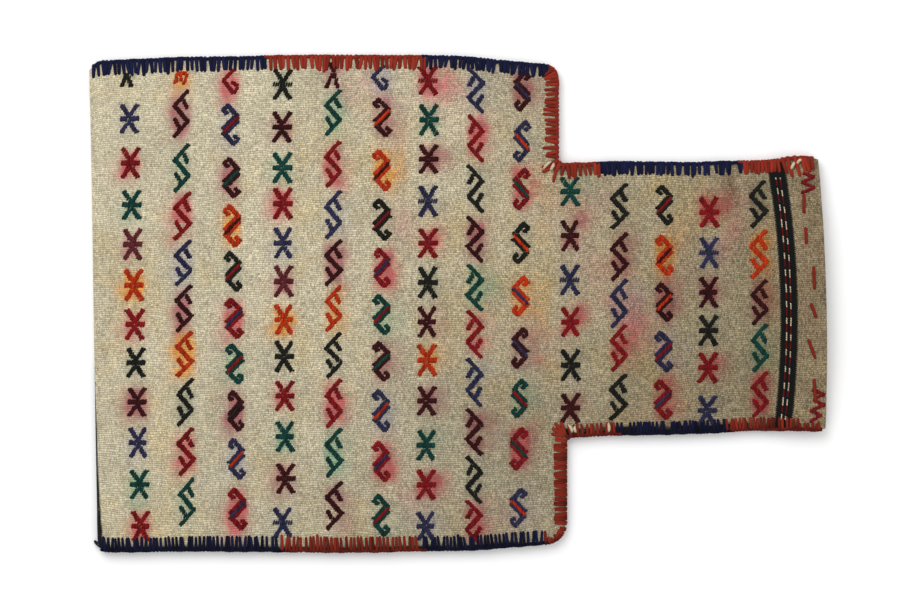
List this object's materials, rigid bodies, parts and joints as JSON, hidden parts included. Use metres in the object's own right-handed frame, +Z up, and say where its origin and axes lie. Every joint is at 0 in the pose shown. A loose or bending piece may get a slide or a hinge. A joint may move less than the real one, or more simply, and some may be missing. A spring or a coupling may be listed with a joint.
{
  "type": "kilim bag",
  "caption": "Flat-woven wool bag with a wide body and a narrow open neck, brocaded figures and overcast sides, lying flat.",
  "frame": {"origin": "on the ground, under the middle of the bag's plan", "axes": "+X from the base fold to the mouth, +Y to the far side, +Z up from the ground through the front"},
  "size_m": [0.6001, 0.4064, 0.0195],
  "materials": {
    "woven_wool": "matt ivory wool flatweave with brocaded figures",
    "navy_wool": "matt navy wool yarn",
    "rust_wool": "matt rust-red wool yarn"
  },
  "bodies": {
    "root": {"woven_cloth": "woven_wool", "hem_thread": "rust_wool", "navy_overcast_far_base": "navy_wool", "rust_overcast_far_body": "rust_wool", "navy_overcast_far_shoulder": "navy_wool", "rust_overcast_far_corner": "rust_wool", "navy_overcast_far_neck": "navy_wool", "rust_overcast_far_mouth": "rust_wool", "navy_overcast_near_base": "navy_wool", "rust_overcast_near_body": "rust_wool", "navy_overcast_near_shoulder": "navy_wool", "rust_overcast_near_corner": "rust_wool", "navy_overcast_near_neck": "navy_wool", "rust_overcast_near_mouth": "rust_wool"}
  },
  "joints": []
}
